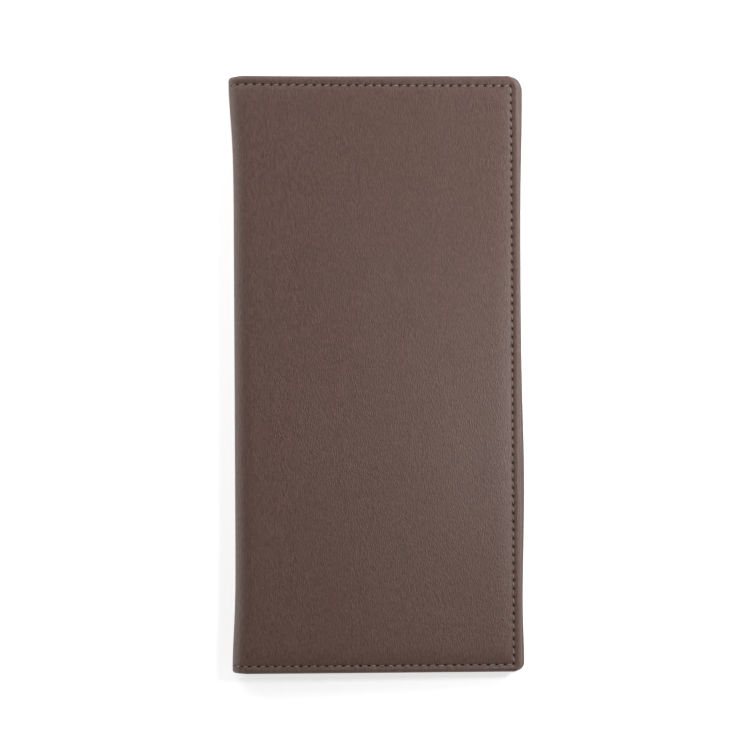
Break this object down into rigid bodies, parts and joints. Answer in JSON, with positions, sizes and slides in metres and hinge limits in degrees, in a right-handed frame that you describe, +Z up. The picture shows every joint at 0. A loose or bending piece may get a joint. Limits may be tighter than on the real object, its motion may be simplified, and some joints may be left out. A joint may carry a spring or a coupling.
{
  "type": "travel document organizer",
  "caption": "Closed book-style leather organizer for tickets and passports, with a rounded fold, turned and sewn edges and a pocket panel inside each cover.",
  "frame": {"origin": "under the middle of the closed organizer's outline, on the surface that it lies on", "axes": "+X from the fold to the free edges, +Y along the height to the top end, +Z up through the closed covers"},
  "size_m": [0.122, 0.2476, 0.012],
  "materials": {
    "cover_leather": "smooth fine-grained leather, semi-matt",
    "pocket_leather": "smooth fine-grained leather, matt",
    "thread": "waxed sewing thread, a shade lighter than the leather"
  },
  "bodies": {
    "root": {"outer_cover": "cover_leather", "front_pocket": "pocket_leather", "back_pocket": "pocket_leather"}
  },
  "joints": []
}
